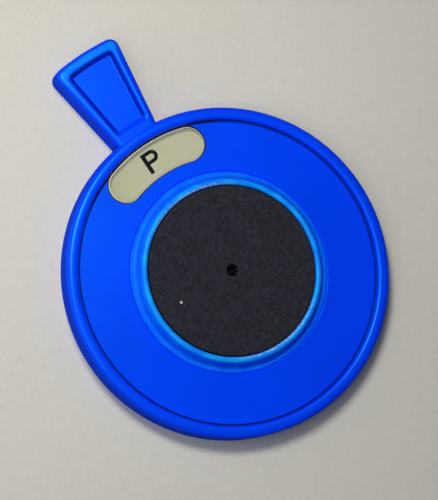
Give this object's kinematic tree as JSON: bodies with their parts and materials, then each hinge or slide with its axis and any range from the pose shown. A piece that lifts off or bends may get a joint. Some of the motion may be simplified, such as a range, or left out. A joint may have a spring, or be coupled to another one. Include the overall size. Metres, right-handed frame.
{
  "type": "parking time disc",
  "caption": "Round in-car parking timer: a shell with a grip tab and a dial window turns on a raised hub with a foam mounting pad.",
  "frame": {"origin": "on the hub's axis, in the rear resting plane", "axes": "+Z points out of the mounting pad's face, +Y points along the grip tab"},
  "size_m": [0.12, 0.1544, 0.0136],
  "materials": {
    "blue_abs": "moulded ABS, satin gloss, blue",
    "foam_pad": "closed-cell foam, matt, charcoal black",
    "film": "double-sided adhesive tissue film",
    "dial_beige": "matt printed polystyrene, beige",
    "ink_black": "matt printing ink, black",
    "acetal": "moulded acetal, natural white",
    "clear_lens": "clear moulded acrylic",
    "zinc_steel": "zinc-plated steel",
    "black_steel": "black-oxide steel",
    "spring_steel": "bright spring steel"
  },
  "bodies": {
    "hub": {"mounting_pad": "foam_pad", "pad_film": "film", "hub": "blue_abs", "centre_screw": "black_steel", "time_dial": "dial_beige", "front_figures": "ink_black", "rear_figures": "ink_black", "click_ring": "acetal", "dial_screws": "zinc_steel", "slip_ring": "acetal", "spring_washer": "spring_steel", "rear_cap": "blue_abs"},
    "shell": {"front_housing": "blue_abs", "window_lens": "clear_lens", "rear_cover": "blue_abs", "rear_lens": "clear_lens", "rear_bush": "acetal", "click_spring": "spring_steel", "cover_screws": "zinc_steel"}
  },
  "joints": [
    {"name": "shell_turn", "type": "hinge", "parent": "hub", "child": "shell", "pos_m": [0, 0, 0.007], "axis": [0, 0, 1], "continuous": true}
  ]
}
